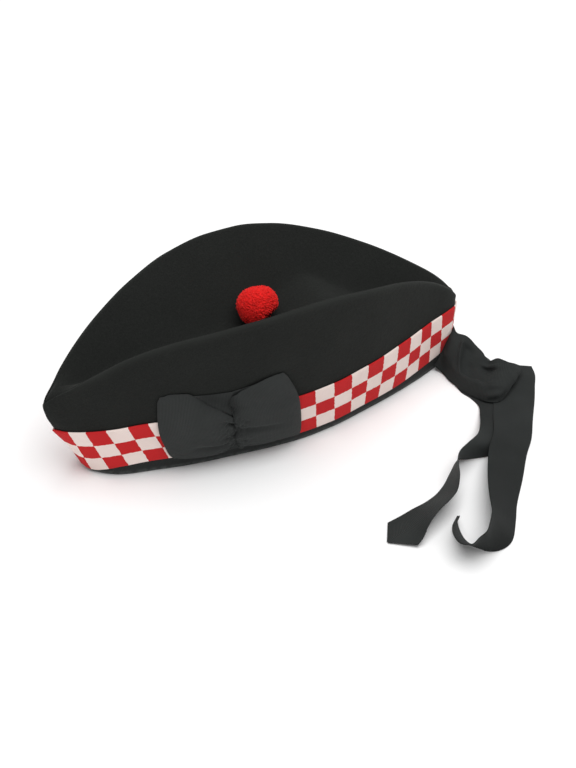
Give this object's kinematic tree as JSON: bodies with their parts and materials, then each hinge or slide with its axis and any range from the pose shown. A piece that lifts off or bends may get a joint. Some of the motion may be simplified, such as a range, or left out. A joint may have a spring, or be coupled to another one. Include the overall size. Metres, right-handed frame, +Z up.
{
  "type": "glengarry",
  "caption": "Boat-shaped felt glengarry cap with a sunken top, diced band, ribbon-bound rim, wool toorie, side bow and knotted ribbon tails at the back.",
  "frame": {"origin": "middle of the cap's box, without the knot and tails, on the surface that it rests on", "axes": "+X towards the back of the cap, -Y the wearer's left with the bow, +Z up"},
  "size_m": [0.3371, 0.2367, 0.1182],
  "materials": {
    "felt": "matt black wool felt",
    "band": "woven wool, red and off-white checks",
    "ribbon": "black ribbed ribbon, slight sheen",
    "wool": "cut red wool"
  },
  "bodies": {
    "root": {"side_left": "felt", "side_right": "felt", "crown_top": "felt", "diced_band": "band", "edge_binding": "ribbon", "toorie": "wool", "cockade_bow": "ribbon", "ribbon_knot": "ribbon", "tail_long": "ribbon", "tail_short": "ribbon"}
  },
  "joints": []
}
